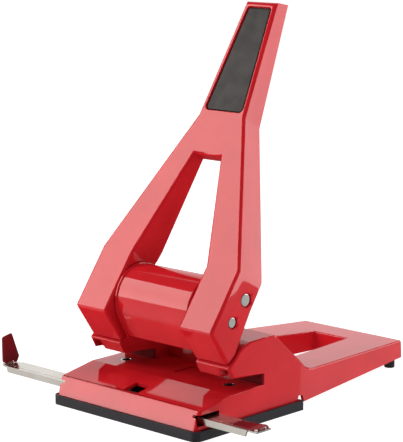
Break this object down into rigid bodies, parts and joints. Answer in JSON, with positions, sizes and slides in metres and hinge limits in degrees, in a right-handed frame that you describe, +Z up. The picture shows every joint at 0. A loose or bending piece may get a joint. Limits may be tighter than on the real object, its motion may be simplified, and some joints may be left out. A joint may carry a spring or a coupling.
{
  "type": "hole punch",
  "caption": "Heavy-duty office hole punch: red housing with a tall forked lever, sliding paper rail with folding stops, and a drop-down chip tray.",
  "frame": {"origin": "on the ground, midway between the two punch axes", "axes": "+X to the user's right along the paper edge, +Y to the rear, +Z up along the punches"},
  "size_m": [0.2003, 0.2012, 0.2246],
  "materials": {
    "red_paint": "gloss",
    "dark_red_paint": "satin",
    "black_plastic": "matte",
    "inlay_plastic": "gloss",
    "nickel": "polished nickel",
    "steel": "zinc plated",
    "bronze": "sintered bronze",
    "rubber": "matte"
  },
  "bodies": {
    "base": {"base_shell": "red_paint", "tower_left": "red_paint", "tower_right": "red_paint", "throat_plates": "dark_red_paint", "punch_bracket_left": "steel", "punch_bracket_right": "steel", "bracket_rivets": "steel", "guide_bushes": "bronze", "die_plate": "steel", "die_bushes": "nickel", "die_screws": "steel", "punch_spring_left": "steel", "punch_spring_right": "steel", "rail_guides": "black_plastic", "rail_detent": "steel", "tray_pins": "steel", "rear_feet": "rubber"},
    "lever": {"lever_shell": "red_paint", "pivot_cover": "red_paint", "grip_inlay": "inlay_plastic", "pivot_axle": "nickel", "pusher_axle": "nickel", "axle_clips": "steel", "pusher_rollers": "steel"},
    "left_punch": {"punch_left": "steel"},
    "right_punch": {"punch_right": "steel"},
    "rail": {"guide_rail": "nickel", "stop_pins": "nickel"},
    "left_stop": {"stop_left": "dark_red_paint"},
    "right_stop": {"stop_right": "dark_red_paint"},
    "tray": {"chip_tray": "black_plastic"}
  },
  "joints": [
    {"name": "lever_hinge", "type": "hinge", "parent": "base", "child": "lever", "pos_m": [0, -0.011, 0.0591], "axis": [-1, 0, 0], "range_deg": [0, 55], "stiffness_Nm_per_rad": 0.6, "springref_deg": -45.84},
    {"name": "left_punch_slide", "type": "slide", "parent": "base", "child": "left_punch", "axis": [0, 0, -1], "range_m": [0, 0.0133], "deforming": ["punch_spring_left"]},
    {"name": "right_punch_slide", "type": "slide", "parent": "base", "child": "right_punch", "axis": [0, 0, -1], "range_m": [0, 0.0133], "deforming": ["punch_spring_right"]},
    {"name": "rail_slide", "type": "slide", "parent": "base", "child": "rail", "axis": [1, 0, 0], "range_m": [-0.044, 0.046]},
    {"name": "left_stop_hinge", "type": "hinge", "parent": "rail", "child": "left_stop", "pos_m": [-0.1066, 0, 0.01265], "axis": [0, 1, 0], "range_deg": [0, 92]},
    {"name": "right_stop_hinge", "type": "hinge", "parent": "rail", "child": "right_stop", "pos_m": [0.0919, 0, 0.01265], "axis": [0, 1, 0], "range_deg": [0, 92]},
    {"name": "tray_hinge", "type": "hinge", "parent": "base", "child": "tray", "pos_m": [0, 0.041, 0.0044], "axis": [1, 0, 0], "range_deg": [0, 45]}
  ],
  "couplings": [
    {"joint": "left_punch_slide", "follows": "lever_hinge", "m_per_rad": 0.01375},
    {"joint": "right_punch_slide", "follows": "lever_hinge", "m_per_rad": 0.01375}
  ]
}
